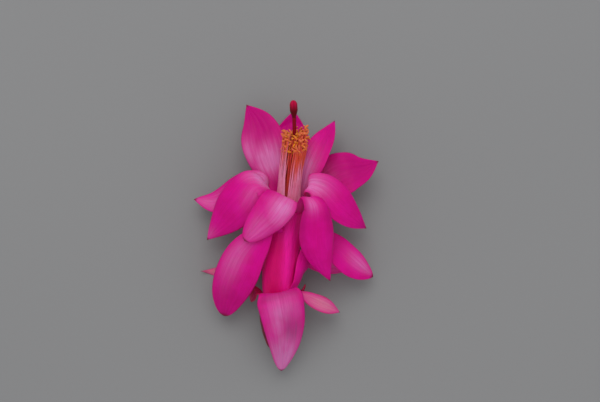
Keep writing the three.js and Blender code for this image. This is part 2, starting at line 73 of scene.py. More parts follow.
# A tepal leaves its "seat", a place along the axis, at an "angle" round it and a "lift" away from
# it, in degrees. It runs straight for its "lead" and then along its "route". It is "root" wide at
# its seat and "width" where it is "widest", a share of its length. "swell" says how slowly it opens
# up to there, and "taper" how soon it narrows after. "lies" points across the blade, "cup" is by
# how many degrees each half curls, at the root and at the tip, and "crease" how deep the midrib is.
BLADE_FORM = dict(lift=12, lead=2, widest=0.55, swell=1, taper=1, cup=[15, 10], crease=0.2)
INNER = dict(BLADE_FORM, seat=MOUTH + GAP, root=3)
RIM = dict(BLADE_FORM, seat=MOUTH - 2.4, lift=24, lead=3, root=3.4)
MIDDLE = dict(BLADE_FORM, seat=19.5, lift=22, lead=3, root=5)
OUTER = dict(BLADE_FORM, seat=16.2, lift=35, lead=1.5, root=4)
TEPALS = {
    "inner_tepal_top_left": dict(
        INNER, angle=115, root=4.6, width=11.3, widest=0.38, taper=0.48, lift=45,
        lies=[-0.9, 0.43, 0], cup=[-10, -25],
        route=[
            [-0.6, 12.1, 19.8], [-2, 10.3, 21.8], [-4.4, 7.1, 22],
            [-7, 4.3, 21.1], [-9.4, 1.8, 20], [-11.9, -0.8, 18.8],
        ],
    ),
    "inner_tepal_top_right": dict(
        INNER, angle=55, root=4.6, width=10.9, widest=0.56, swell=1.5, lift=40,
        lies=[-1, 0, 0.14], cup=[-31, -38],
        route=[
            [6.6, 11.8, 20.9], [8.6, 9.3, 22], [9, 3.6, 20.2],
            [9.3, -2, 18.1], [10.6, -7.4, 15], [13.1, -12.9, 11],
        ],
    ),
    "inner_tepal_left": dict(
        INNER, angle=180, root=2.6, width=12.4, widest=0.54, swell=1.3,
        lies=[-0.6, 0.78, -0.1], cup=[-12, -8],
        route=[
            [-6.6, 15.3, 17], [-9.6, 15.4, 18.7], [-13.7, 10.4, 17.3],
            [-18.6, 4.9, 12.6], [-23.6, -0.8, 7.5],
        ],
    ),
    "inner_tepal_far_left": dict(
        RIM, angle=190, seat=MOUTH - 3.4, root=2.2, width=10.9, swell=2.2, taper=0.9,
        lies=[0, 0.9, -0.4],
        route=[
            [-7.2, 16.4, 11.4], [-10.3, 16, 11.7], [-15.3, 12.6, 10.4],
            [-21.7, 10.6, 6.5], [-27.7, 11.3, 4.5],
        ],
    ),
    "inner_tepal_front_left": dict(
        INNER, angle=236, width=13.1, widest=0.58, swell=1.3, lies=[0.93, 0.35, 0.04], cup=[4, 10],
        route=[[-4.9, 21.5, 8.7], [-6.5, 27.4, 9.1], [-8.5, 34, 8], [-11.9, 39.7, 5]],
    ),
    "inner_tepal_front_middle": dict(
        RIM, angle=272, root=5, width=13.2, widest=0.6, taper=0.85, lies=[1, 0, 0], cup=[15, 5],
        route=[[1.1, 21.6, 3.5], [1.4, 29.3, -0.5], [2.3, 38, 1.2]],
    ),
    "inner_tepal_front_right": dict(
        INNER, angle=308, root=2.5, width=9.3, swell=1.7, lies=[0.83, -0.2, 0.5],
        route=[[7.2, 20.6, 12.1], [9.3, 25.5, 12.4], [11.7, 30.1, 10], [14.6, 34.9, 6]],
    ),
    "inner_tepal_far_right": dict(
        RIM, angle=354, seat=MOUTH - 4, lift=36, root=2.2, width=14.2, widest=0.52, swell=2.1,
        lies=[0.2, -0.95, 0.22],
        route=[
            [11.2, 13.2, 9], [14.3, 17.4, 9.8], [18.3, 19.3, 10.5],
            [22.8, 20.4, 9.2], [27.6, 22.7, 7],
        ],
    ),
    "inner_tepal_right": dict(
        INNER, angle=1, root=2.4, width=10, swell=1.4, lift=25, lies=[-0.3, -0.85, 0.1],
        route=[
            [6.9, 15.5, 16.8], [10.6, 14.7, 17.7], [16.2, 9.2, 15.5],
            [20.3, 5.4, 11.4], [24, 2.6, 7],
        ],
    ),
    "middle_tepal_left": dict(
        MIDDLE, angle=121, seat=36.8, root=4.4, width=12.8, widest=0.6, swell=1.3, taper=0.56,
        lift=30, lead=1.2, lies=[-0.78, 0.4, 0], cup=[-20, 8],
        route=[
            [-3.8, 6.2, 17.5], [-4.8, 6.1, 18.4], [-6.3, 3.1, 18.2], [-8.8, -1.1, 17.3],
            [-12, -5.6, 15.6], [-14.4, -10.6, 13.4], [-17.1, -17.2, 9.5], [-18.7, -23.7, 5],
        ],
    ),
    "middle_tepal_right": dict(
        MIDDLE, angle=23.5, root=6, width=8.7, widest=0.7, taper=0.7, lift=12, lead=5,
        lies=[-0.8, -0.5, 0.35],
        route=[
            [6.3, -5.4, 11.3], [8.2, -2.1, 11.5], [10.6, -1.4, 11.4], [14.5, -3.2, 10.4],
            [18.7, -7, 9], [22.2, -9.7, 7], [26.1, -12, 4.5],
        ],
    ),
    "middle_tepal_under_left": dict(
        MIDDLE, angle=206, seat=24, width=4.8, taper=1.3, lies=[0, 1, 0],
        route=[[-10, -9, 4], [-14.8, -10.3, 1], [-21.5, -10.7, -0.6], [-26, -10.4, 1.4]],
    ),
    "middle_tepal_under_right": dict(
        MIDDLE, angle=330, seat=24, width=7, lies=[0, -1, 0],
        route=[[10.2, -7.5, 3.6], [17.2, -8.3, -0.6], [22.9, -9.4, 1.4]],
    ),
    "outer_tepal_top": dict(
        OUTER, angle=88, root=6.4, width=13.4, widest=0.2, taper=0.62, lies=[-1, -0.4, 0],
        cup=[-6, -14],
        route=[
            [-2.2, -16.2, 15.7], [-1.5, -18.7, 17], [-0.4, -25.6, 14.5],
            [-0.3, -31.8, 10.5], [-1.4, -40.2, 5],
        ],
    ),
    "outer_tepal_right": dict(
        OUTER, angle=12, width=5, lies=[-0.25, -0.85, 0.35],
        route=[[8.6, -19, 9.5], [12.4, -20.7, 8], [16.1, -22.6, 5]],
    ),
    "outer_tepal_left": dict(
        OUTER, angle=176, width=3.6, lies=[-0.4, 0.6, -0.2],
        route=[[-9.3, -15.9, 9], [-10.5, -19.5, 6]],
    ),
    "outer_scale": dict(
        OUTER, angle=336, lift=30, lead=0.8, root=2, width=2.9, lies=[0, 0, 1],
        route=[[4.9, -15.8, 6.5], [5.7, -14, 7.2]],
    ),
    "outer_tepal_under_left": dict(
        OUTER, angle=236, width=6, lies=[1, 0, 0],
        route=[[-4.7, -21, 0.9], [-4.8, -25, -0.5], [-5, -29, 0.6]],
    ),
    "outer_tepal_under_right": dict(
        OUTER, angle=306, width=6, lies=[1, 0, 0],
        route=[[1.8, -21, 0.9], [2.3, -25, -0.5], [2.6, -29, 0.6]],
    ),
}

# How thin and how lively the real blades are. Shares are of a blade's length or half width.
POINT = 0.05  # half width at the very tip
SHEET = 0.5  # thickness along the midrib
ROOT_FLESH = 0.5  # how much thicker the root is, as a share
ROOT_FADE = (0.1, 0.4)  # shares along between which that ends
TIP_FINE = 12  # the last 1/12 of the length thins out
TIP_DARK = (0.955, 1.0)  # shares along between which the tip darkens
SINK_LENGTH = 2.6  # length of root that runs into what carries it
SINK_BACK = 0.5  # how far its end goes back
SINK_IN = 0.75  # and in, unless it stands on the rim
VEINS = 6  # fine ribs across a blade
RIB_HEIGHT = 0.045
RIB_REACH = 0.8  # share across by which the ribs fade
MARGIN_LAG = 0.15  # waves by which one margin runs ahead of the midrib
SWELL_HEIGHT = 0.14
SWELL_WAVES = (0.9, 0.4)  # soft swells along, and across a half
SWELL_PHASE = 2.1
FOLDS_GROW = (0.08, 0.35)  # shares along between which all folds rise
FOLDED_HALF = 2.5  # half width from which they are full
PHASE_STEP = 1.7  # from one tepal's folds to the next
SEED_STEP = 3.1  # from one tepal's streaks to the next
LARGE_GRID = (76, 40)  # cells along and across
SMALL_GRID = (44, 22)
SMALL_WIDTH = 8  # a narrower blade has the small grid

# Where a blade is pale, deep or dull, as soft spots: share along, share across (-1 to 1), reach
# along, reach across, strength. "warm" turns its pale parts from lilac to salmon, and "ruddy" the
# rest of it from magenta to a dark red. "frill" is the height of its margin's waves.
# Some deep spots below are painted shade and some pale spots painted light, each noted where it
# stands.
PLAIN_LOOK = dict(pale=[], deep=[], dull=[], warm=0.0, ruddy=0.0, frill=0.1, waves=2.0)
UNDERSIDE_LOOK = dict(pale=[(0.7, 0, 0.4, 0.8, 0.6)], warm=0.8, frill=0.05)
LOOKS = {
    "inner_tepal_top_left": dict(
        pale=[(0.4, -0.35, 0.2, 0.6, 0.95), (0.78, -0.1, 0.26, 0.7, 0.45)],
        # The deep spot on the left margin by the fold is painted shade where that margin rolls
        # down.
        deep=[(0.35, 0.95, 0.16, 0.4, 0.5)], frill=0.12, waves=2.5,
    ),
    "inner_tepal_top_right": dict(
        # The small pale spot at the root is painted light on the claw, which lies in shade.
        pale=[(0.27, 0.2, 0.08, 0.45, 0.58), (0.06, 0, 0.08, 2, 0.2)],
        # Both deep spots are painted shade on the flanks that bend down.
        deep=[(0.4, 1.0, 0.24, 0.4, 1.3), (0.42, -1.0, 0.22, 0.4, 1.0)], frill=0.12, waves=2.2,
    ),
    "inner_tepal_left": dict(
        pale=[
            (0.22, 0.55, 0.09, 0.65, 1.8), (0.38, -0.3, 0.12, 0.5, 0.3),
            (0.95, 0.2, 0.08, 0.8, 0.3),
        ],
        # The deep spot on the lower right margin is painted shade where the top left tepal lies
        # over it.
        deep=[(0.6, -0.9, 0.3, 0.4, 0.3)], frill=0.22, waves=2.6,
    ),
    "inner_tepal_far_left": dict(
        pale=[(0.86, -0.1, 0.2, 0.8, 0.45), (0.27, 0.6, 0.1, 0.5, 1.2)], frill=0.15, waves=2.2,
    ),
    "inner_tepal_front_left": dict(
        pale=[(0.43, 0.1, 0.13, 0.75, 1.4), (0.52, -0.8, 0.14, 0.45, 0.7)],
        # The second deep spot, near the root, is painted shadow of the left tepal's rolled edge.
        deep=[(0.85, 0, 0.36, 2, 1.2), (0.22, -0.3, 0.1, 0.8, 1.0)], frill=0.14, waves=2.1,
    ),
    "inner_tepal_front_middle": dict(
        pale=[(0.4, 0, 0.25, 0.5, 0.3)], deep=[(0.9, 0, 0.25, 2, 0.5)], frill=0.12, waves=2.3,
    ),
    "inner_tepal_front_right": dict(
        # The pale spot is the blade's paler base, lifted further as painted light where the stamens
        # shade it.
        pale=[(0.31, -0.4, 0.22, 0.95, 1.35)], deep=[(0.82, 0.5, 0.22, 0.8, 0.6)],
        frill=0.12, waves=2.4,
    ),
    "inner_tepal_far_right": dict(
        # The pale spot is a paler base, lifted further as painted light where it lies in shade.
        pale=[(0.4, -0.3, 0.14, 0.7, 0.5)],
        # The second deep spot is painted shade on the root, which lies under the right tepal.
        deep=[(0.8, -0.1, 0.36, 1.4, 1.0), (0.06, 0, 0.14, 2, 1.0)], frill=0.22, waves=2.2,
    ),
    "inner_tepal_right": dict(
        # The second pale spot is painted light on the claw, which lies in shade.
        pale=[(0.27, 0.0, 0.15, 0.8, 1.0), (0.12, 0, 0.07, 2, 0.3)],
        deep=[(1.0, 0, 0.12, 2, 0.9)], frill=0.12, waves=2.5,
    ),
    "middle_tepal_left": dict(
        pale=[(0.5, 0.4, 0.2, 0.45, 0.45)], deep=[(0.95, 0, 0.26, 2, 0.9)], waves=1.8,
    ),
    "middle_tepal_right": dict(
        pale=[(0.83, -0.35, 0.14, 0.5, 0.6)],
        # The second deep spot is painted shade on the claw, under the top right tepal.
        deep=[(0.45, 0, 0.2, 1, 0.4), (0.2, -0.8, 0.2, 1, 1.4)],
    ),
    "middle_tepal_under_left": dict(pale=[(0.8, 0, 0.5, 1.2, 0.9)], warm=0.9, frill=0.05),
    "middle_tepal_under_right": dict(pale=[(0.8, 0, 0.5, 1.0, 0.5)], warm=0.4, frill=0.05),
    "outer_tepal_top": dict(
        pale=[
            (0.3, 0, 0.13, 0.7, 0.7), (0.45, 0.3, 0.2, 0.45, 0.55), (0.84, 0, 0.28, 1.1, 1.2),
        ],
        deep=[(0.15, 0, 0.05, 2, 1.2)],
        dull=[(0.5, -0.35, 0.16, 0.45, 0.7), (0.75, 0.1, 0.24, 0.9, 0.2)], frill=0.08, waves=1.5,
    ),
    "outer_tepal_right": dict(pale=[(0.55, 0, 0.5, 0.85, 1.15)], warm=0.65, frill=0.05),
    "outer_tepal_left": dict(pale=[(0.85, 0.5, 0.3, 0.7, 0.5)], warm=1.0, ruddy=0.85, frill=0.03),
    "outer_scale": dict(deep=[(0.9, 0, 0.6, 2, 1.0)], warm=0.6, ruddy=1.0, frill=0.0),
    "outer_tepal_under_left": UNDERSIDE_LOOK,
    "outer_tepal_under_right": UNDERSIDE_LOOK,
}


class Curve:
    """A centripetal Catmull-Rom curve through some points, walked by shares of its length."""

    def __init__(self, points, divisions=200):
        p = np.array(points, float)
        p = np.vstack([2 * p[0] - p[1], p, 2 * p[-1] - p[-2]])
        knots = np.sum(np.diff(p, axis=0) ** 2, axis=1) ** 0.25
        pieces = []
        for k in range(len(p) - 3):
            x0, x1, x2, x3 = p[k : k + 4]
            d0, d1, d2 = knots[k : k + 3]
            leave = ((x1 - x0) / d0 - (x2 - x0) / (d0 + d1) + (x2 - x1) / d1) * d1
            arrive = ((x2 - x1) / d1 - (x3 - x1) / (d1 + d2) + (x3 - x2) / d2) * d1
            square = 3 * (x2 - x1) - 2 * leave - arrive
            cube = 2 * (x1 - x2) + leave + arrive
            pieces.append((x1, leave, square, cube))
        self.pieces = np.array(pieces)
        self.steps = np.linspace(0, 1, divisions + 1)
        lengths = np.linalg.norm(np.diff(self.at(self.steps), axis=0), axis=1)
        self.walked = np.concatenate([[0], np.cumsum(lengths)])
        self.length = self.walked[-1]

    def at(self, t):
        t = np.clip(np.atleast_1d(t), 0, 1) * len(self.pieces)
        k = np.minimum(t.astype(int), len(self.pieces) - 1)
        w = (t - k)[:, None]
        a, b, c, d = np.moveaxis(self.pieces[k], 1, 0)
        return a + w * (b + w * (c + w * d))

    def parameter(self, share):
        return np.interp(np.atleast_1d(share) * self.length, self.walked, self.steps)

    def point(self, share):
        return self.at(self.parameter(share))

    def tangent(self, share):
        t = self.parameter(share)
        return unit(self.at(t + TINY) - self.at(t - TINY))


def unit(v):
    return v / np.maximum(np.linalg.norm(v, axis=-1, keepdims=True), 1e-12)


def smoothstep(x, low, high):
    t = np.clip((np.asarray(x, float) - low) / (high - low), 0, 1)
    return t * t * (3 - 2 * t)


def rotated(v, axis, angle):
    """v turned about a unit axis, less any part of v along it."""
    return v * math.cos(angle) + np.cross(axis, v) * math.sin(angle)


def carried(v, before, now):
    """v turned as a line's direction turns from one step to the next."""
    axis = np.cross(before, now)
    sine = np.linalg.norm(axis)
    if sine < 1e-9:
        return v
    axis = axis / sine
    angle = math.atan2(sine, before @ now)
    return rotated(v, axis, angle) + axis * (axis @ v) * (1 - math.cos(angle))


axis_curve = Curve(AXIS_POINTS)
AXIS_LENGTH = axis_curve.length
STIGMA_FOOT = AXIS_LENGTH - STIGMA_LENGTH


def station(along):
    """The axis at a distance from its foot: its centre, and the directions ahead, right and up."""
    share = min(max(along / AXIS_LENGTH, 0), 1)
    centre = axis_curve.point(share)[0]
    ahead = axis_curve.tangent(share)[0]
    side = unit(np.cross(ahead, (0, 0, 1)))
    return centre, ahead, side, np.cross(side, ahead)


def outward(side, up, degrees):
    turn = math.radians(degrees)
    return side * math.cos(turn) + up * math.sin(turn)


def near_axis(along, degrees, radius):
    centre, _, side, up = station(along)
    return centre + outward(side, up, degrees) * radius


def profile_at(profile, along):
    return np.interp(along, [x for x, _ in profile], [r for _, r in profile])


def eased(profile, along):
    """A profile's radius with its corners rounded off."""
    offsets = (-0.8, -0.4, 0, 0.4, 0.8)
    return sum(profile_at(profile, along + offset) for offset in offsets) / len(offsets)


def tube_ridge(degrees):
    return TUBE_RIDGE_HEIGHT * math.cos(TUBE_RIDGES * math.radians(degrees))


# Meshes


def make_piece(name, points, faces, material, node_names, attributes):
    """A smooth mesh that rides on the flower and stands for some of its solids."""
    mesh = bpy.data.meshes.new(name)
    mesh.from_pydata((np.asarray(points) * MM).tolist(), [], faces)
    mesh.validate()
    for key, values in attributes.items():
        layer = mesh.attributes.new(key, "FLOAT", "POINT")
        layer.data.foreach_set("value", np.asarray(values, np.float32))
    mesh.polygons.foreach_set("use_smooth", [True] * len(mesh.polygons))
    mesh.materials.append(material)
    piece = bpy.data.objects.new(name, mesh)
    bpy.context.scene.collection.objects.link(piece)
    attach(piece, "root")
    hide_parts(*node_names)


class Builder:
    """Gathers closed surfaces and the numbers at their points into one mesh."""

    def __init__(self, *keys):
        self.points = []
        self.faces = []
        self.values = {key: [] for key in keys}

    def rings(self, rings, values, loop=False):
        """A closed rod or loop through rings of points. values has, by key, one number a ring."""
        first = len(self.points)
        count = len(rings[0])
        for row, ring in enumerate(rings):
            self.points.extend(ring)
            for key, store in self.values.items():
                store.extend([values[key][row]] * count)
        for row in range(len(rings) if loop else len(rings) - 1):
            a = first + row * count
            b = first + (row + 1) % len(rings) * count
            for k in range(count):
                n = (k + 1) % count
                self.faces.append((a + k, a + n, b + n, b + k))
        if not loop:
            last = len(self.points) - count
            self.faces.append(tuple(reversed(range(first, first + count))))
            self.faces.append(tuple(range(last, last + count)))

    def piece(self, name, material, node_name, slot, attributes=None):
        values = attributes or self.values
        make_piece(name, self.points, self.faces, material, [node_name], values)


def half_width(spec, s):
    widest = spec["widest"]
    opening = np.sin(np.pi / 2 * np.minimum(1, s / widest)) ** spec["swell"]
    closing = np.cos(np.pi / 2 * np.maximum(0, (s - widest) / (1 - widest))) ** spec["taper"]
    claw = spec["root"] / 2 * (1 - s) ** 3
    return np.maximum(np.hypot(opening * closing * spec["width"] / 2, claw), POINT)


def tepal_surface(spec, rows, columns):
    """The middle surface of a tepal as a grid of points, with its shares along and across."""
    centre, ahead, side, up = station(spec["seat"])
    radial = outward(side, up, spec["angle"])
    on_rim = spec["seat"] > MOUTH
    wall = profile_at(TUBE_PROFILE, spec["seat"]) + tube_ridge(spec["angle"])
    reach = RIM_RADIUS if on_rim else wall + GAP + BLADE / 2
    start = centre + radial * reach
    lift = math.radians(spec["lift"])
    leaving = ahead * math.cos(lift) + radial * math.sin(lift)
    midrib = Curve([start, start + leaving * spec["lead"], *spec["route"]], 400)
    # The root runs on into the tube's wall, so that no gap shows between them.
    sinking = leaving * SINK_BACK + radial * (0 if on_rim else SINK_IN)
    shares = np.linspace(0, 1, rows + 1)
    across = np.linspace(-1, 1, columns + 1)
    centres = midrib.point(shares)
    tangents = midrib.tangent(shares)
    lies = np.array(spec["lies"], float)
    root_cup, tip_cup = spec["cup"]
    width = np.cross(radial, ahead)
    grid = np.zeros((rows + 1, columns + 1, 3))
    for row, (s, tangent, half) in enumerate(zip(shares, tangents, half_width(spec, shares))):
        if row:
            width = carried(width, tangents[row - 1], tangent)
        width = unit(width - tangent * (width @ tangent))
        goal = unit(lies - tangent * (lies @ tangent))
        turn = math.atan2(np.cross(width, goal) @ tangent, width @ goal) * smoothstep(s, 0, CLAW)
        across_blade = rotated(width, tangent, turn)
        face = np.cross(across_blade, tangent)
        cup = math.radians(root_cup + (tip_cup - root_cup) * s)
        own = min(1, s / CLAW)
        arc = spec["root"] / 2 / reach * (1 - own) + cup * own or TINY
        crease = spec["crease"] * math.sin(math.pi * s) * np.exp(-((across / CREASE_REACH) ** 2))
        rise = half * (1 - np.cos(across * arc)) / arc - crease + ripple(spec, s, across, half)
        out = half * np.sin(across * arc) / arc
        sunk = centres[row] - sinking * (1 - smoothstep(s * midrib.length, 0, SINK_LENGTH))
        grid[row] = sunk + across_blade * out[:, None] + face * rise[:, None]
    return grid, shares, across


def ripple(spec, s, across, half):
    """Low folds along a blade: a soft swell, fine ribs with the veins, and a waved margin."""
    phase = spec["phase"]
    ribs = np.cos(across * np.pi * VEINS + phase) * np.exp(-((across / RIB_REACH) ** 4))
    waves = np.sin(2 * np.pi * (spec["waves"] * s + MARGIN_LAG * across) + phase)
    swells_along, swells_across = SWELL_WAVES
    swell = np.sin(2 * np.pi * (swells_along * s + swells_across * across) + SWELL_PHASE * phase)
    grown = smoothstep(s, *FOLDS_GROW) * min(1.0, half / FOLDED_HALF)
    margin = np.abs(across) ** 3 * waves
    swell = swell * (1 - across**2)
    return grown * (RIB_HEIGHT * ribs + spec["frill"] * margin + SWELL_HEIGHT * swell)


def cell(sheet, row, k):
    """The four corners of one cell of a grid of point numbers, in order round it."""
    return sheet[row, k], sheet[row, k + 1], sheet[row + 1, k + 1], sheet[row + 1, k]


def build_tepal(name, spec, material):
    """A thin closed blade, thickest along its midrib and drawn out to a fine margin."""
    rows, columns = spec["grid"]
    grid, shares, across = tepal_surface(spec, rows, columns)
    normals = unit(np.cross(np.gradient(grid, axis=1), np.gradient(grid, axis=0)))
    body = np.sqrt(np.clip(1 - np.abs(across) ** 3, 0, 1))
    fleshy = 1 + ROOT_FLESH * (1 - smoothstep(shares, *ROOT_FADE))
    thinning = np.clip((1 - shares) * TIP_FINE, 0, 1) ** 0.5
    thickness = SHEET / 2 * fleshy[:, None] * body * thinning[:, None]
    # What would go below the surface is pressed flat against it.
    lowest = grid[..., 2] - np.abs(normals[..., 2]) * thickness
    grid[..., 2] += np.maximum(0, -lowest)
    top = grid + normals * thickness[..., None]
    bottom = grid - normals * thickness[..., None]

    # Both sides share their points along the margins and at the tip, so these come once.
    count = columns + 1
    upper = np.arange((rows + 1) * count).reshape(rows + 1, count)
    lower = upper + upper.size
    lower[:, 0] = upper[:, 0]
    lower[:, -1] = upper[:, -1]
    lower[-1] = upper[-1]
    faces = []
    for row in range(rows):
        for k in range(columns):
            faces.append(cell(upper, row, k))
            a, b, c, d = cell(lower, row, k)
            faces.append(tuple(dict.fromkeys((a, d, c, b))))
    for k in range(columns):
        end = (upper[0, k + 1], upper[0, k], lower[0, k], lower[0, k + 1])
        faces.append(tuple(dict.fromkeys(end)))
    points = np.concatenate([top.reshape(-1, 3), bottom.reshape(-1, 3)])
    used = np.unique(np.concatenate([np.array(f) for f in faces]))
    renumber = {int(old): new for new, old in enumerate(used)}
    faces = [tuple(renumber[int(v)] for v in f) for f in faces]

    s, t = np.repeat(shares, count), np.tile(across, rows + 1)
    layers = {"along": s, "across": t, "tip": smoothstep(s, *TIP_DARK)}
    layers.update({key: spots(spec[key], s, t) for key in ("pale", "deep", "dull")})
    layers.update({key: np.full(s.shape, spec[key]) for key in ("warm", "ruddy", "seed")})
    attributes = {key: np.tile(values, 2)[used] for key, values in layers.items()}
    make_piece(name + "_blade", points[used], faces, material, [name], attributes)


def spots(places, s, t):
    """The strongest of some soft spots at each share along and across."""
    level = np.zeros(s.shape)
    for along, across, reach_s, reach_t, strength in places:
        away = ((s - along) / reach_s) ** 2 + ((t - across) / reach_t) ** 2
        level = np.maximum(level, strength * np.exp(-away))
    return level


# Materials


def linear(red, green, blue, level):
    """A display colour of 0 to 255 as light, scaled."""
    shares = [c / 255 for c in (red, green, blue)]
    lights = [c / 12.92 if c <= 0.04045 else ((c + 0.055) / 1.055) ** 2.4 for c in shares]
    return [level * light for light in lights]


PETAL = linear(216, 3, 140, 1.22)
PETAL_VARIED = linear(210, 2, 130, 1.2)
PETAL_DEEP = linear(190, 2, 118, 1.12)
PETAL_PALE = linear(216, 120, 182, 1.25)
PETAL_SALMON = linear(214, 112, 132, 1.2)
PETAL_DULL = linear(158, 62, 122, 1.2)
PETAL_RUDDY = linear(150, 14, 36, 1.1)
PETAL_EDGE = linear(206, 14, 120, 1.25)
PETAL_WARM_EDGE = linear(206, 50, 90, 1.2)
PETAL_VEIN = linear(176, 8, 104, 1.0)
PETAL_TIP = linear(120, 22, 40, 1.0)
TUBE_CRIMSON = linear(202, 3, 102, 1.3)
TUBE_DARK = linear(196, 3, 96, 1.3)
TUBE_BRIGHT = linear(222, 18, 140, 1.4)
TUBE_THREAD = linear(150, 6, 70, 1.0)
OVARY_DARK = linear(100, 10, 36, 1.2)
OVARY_RED = linear(132, 18, 48, 1.2)
OVARY_GREEN = linear(84, 44, 40, 1.2)
OVARY_FLECK = linear(70, 8, 26, 1.2)
STYLE_LOW = linear(170, 26, 40, 1.2)
STYLE_HIGH = linear(132, 2, 24, 1.1)
STYLE_LINE = linear(96, 8, 22, 1.2)
STIGMA_LOW = linear(92, 2, 10, 1.0)
STIGMA_HIGH = linear(186, 6, 62, 1.3)
STIGMA_NAP = linear(120, 8, 34, 1.2)
FILAMENT_PALE = linear(220, 144, 178, 1.3)
FILAMENT_ROSE = linear(206, 78, 118, 1.25)
FILAMENT_ORANGE = linear(214, 92, 50, 1.35)
FILAMENT_RED = linear(190, 44, 28, 1.3)
ANTHER_MUSTARD = linear(214, 134, 24, 1.4)
ANTHER_ORANGE = linear(218, 104, 82, 1.35)
ANTHER_BROWN = linear(176, 74, 18, 1.25)
ANTHER_POLLEN = linear(222, 150, 40, 1.35)
FLOOR_LOW = (0.297, 0.297, 0.299)
FLOOR_HIGH = (0.31, 0.31, 0.311)
NOISY = (0.3, 0.7)  # where most of a noise's values lie


class Recipe:
    """A node material with one Principled shader, and short calls for the nodes that feed it."""

    def __init__(self, name, **shader):
        self.material = bpy.data.materials.new(name)
        self.material.use_nodes = True
        self.tree = self.material.node_tree
        self.shader = self.tree.nodes["Principled BSDF"]
        for key, value in shader.items():
            self.shader.inputs[key.replace("_", " ")].default_value = value

    def put(self, socket, value):
        if isinstance(value, bpy.types.NodeSocket):
            self.tree.links.new(value, socket)
        elif socket.type == "RGBA" and len(value) == 3:
            socket.default_value = (*value, 1)
        else:
            socket.default_value = value

    def node(self, kind, inputs, **settings):
        made = self.tree.nodes.new("ShaderNode" + kind)
        for key, value in settings.items():
            setattr(made, key, value)
        for key, value in inputs.items():
            self.put(made.inputs[key], value)
        return made

    def attribute(self, name):
        return self.node("Attribute", {}, attribute_name=name).outputs["Fac"]

    def math(self, operation, a, b=0.0):
        return self.node("Math", {0: a, 1: b}, operation=operation).outputs[0]

    def times(self, a, b):
        return self.math("MULTIPLY", a, b)

    def up_to_one(self, value):
        return self.math("MINIMUM", value, 1.0)

    def ramp(self, value, span, to=(0.0, 1.0)):
        """A value eased from one span into another."""
        keys = ("Value", "From Min", "From Max", "To Min", "To Max")
        inputs = dict(zip(keys, (value, *span, *to)))
        return self.node("MapRange", inputs, interpolation_type="SMOOTHSTEP").outputs["Result"]

    def object_place(self):
        return self.node("TexCoord", {}).outputs["Object"]

    def skin_place(self, across, along, steps, seed):
        """A place that follows a piece's skin, with its own number of steps each way."""
        inputs = {"X": self.times(across, steps[0]), "Y": self.times(along, steps[1]), "Z": seed}
        return self.node("CombineXYZ", inputs).outputs[0]

    def noise(self, where, scale=1.0, detail=3.0, roughness=0.5):
        inputs = {"Vector": where, "Scale": scale, "Detail": detail, "Roughness": roughness}
        return self.node("TexNoise", inputs).outputs["Fac"]

    def cells(self, where, scale):
        return self.node("TexVoronoi", {"Vector": where, "Scale": scale}).outputs["Distance"]

    def blend(self, share, low, high):
        inputs = {"Factor": share, 6: low, 7: high}  # the colour sockets
        return self.node("Mix", inputs, data_type="RGBA").outputs[2]

    def bump(self, height, strength, depth, below=None):
        """A surface raised by a height, of a depth in millimetres, over another one."""
        inputs = {"Height": height, "Strength": strength, "Distance": depth * MM}
        if below is not None:
            inputs["Normal"] = below
        return self.node("Bump", inputs).outputs["Normal"]

    def finish(self, colour, normal, drift, roughness):
        """The material, with a roughness that drifts between two values."""
        self.put(self.shader.inputs["Base Color"], colour)
        self.put(self.shader.inputs["Normal"], normal)
        self.put(self.shader.inputs["Roughness"], self.ramp(drift, NOISY, roughness))
        return self.material


def petal_material():
    """Glossy, slightly translucent petal flesh with streaks that run with the veins."""
    r = Recipe(
        "petal_flesh", Specular_IOR_Level=0.1, Subsurface_Weight=0.2, Subsurface_Scale=1.3 * MM,
        Subsurface_Radius=(1.0, 0.25, 0.55), Sheen_Weight=0.02, Sheen_Roughness=0.45,
    )
    along, across, seed = r.attribute("along"), r.attribute("across"), r.attribute("seed")
    place = r.object_place()
    streaks = r.noise(r.skin_place(across, along, (9.0, 2.2), seed), detail=4.0, roughness=0.55)
    veins = r.noise(r.skin_place(across, along, (34.0, 4.0), seed), detail=2.0)
    clouds = r.noise(place, 260.0)
    pores = r.cells(place, 5200.0)

    lively = r.ramp(streaks, (0.25, 0.75), (0.62, 1.3))
    mottled = r.ramp(clouds, NOISY, (0.85, 1.12))
    pale = r.up_to_one(r.times(r.times(r.attribute("pale"), lively), mottled))
    deep = r.up_to_one(r.times(r.attribute("deep"), mottled))
    warm = r.attribute("warm")
    margin = r.ramp(r.math("ABSOLUTE", across), (0.72, 1.0))
    margin = r.times(margin, r.ramp(streaks, NOISY, (0.5, 1.0)))

    body = r.blend(r.ramp(clouds, (0.35, 0.65)), PETAL, PETAL_VARIED)
    # Deep spots: the blade's own deeper magenta, and painted shade where a look says so.
    body = r.blend(deep, body, PETAL_DEEP)
    body = r.blend(r.times(r.attribute("ruddy"), lively), body, PETAL_RUDDY)
    # Pale spots: the blade's paler parts, and painted light where a look says so.
    colour = r.blend(pale, body, r.blend(warm, PETAL_PALE, PETAL_SALMON))
    colour = r.blend(r.times(r.attribute("dull"), lively), colour, PETAL_DULL)
    edge = r.blend(warm, PETAL_EDGE, PETAL_WARM_EDGE)
    colour = r.blend(r.times(margin, 0.6), colour, edge)
    colour = r.blend(r.ramp(veins, (0.32, 0.62), (0.16, 0.0)), colour, PETAL_VEIN)
    colour = r.blend(r.ramp(r.attribute("tip"), (0.0, 1.0), (0.0, 0.85)), colour, PETAL_TIP)

    folds = r.bump(streaks, 0.3, 0.22)
    lined = r.bump(veins, 0.22, 0.06, folds)
    return r.finish(colour, r.bump(pores, 0.12, 0.03, lined), clouds, (0.4, 0.55))


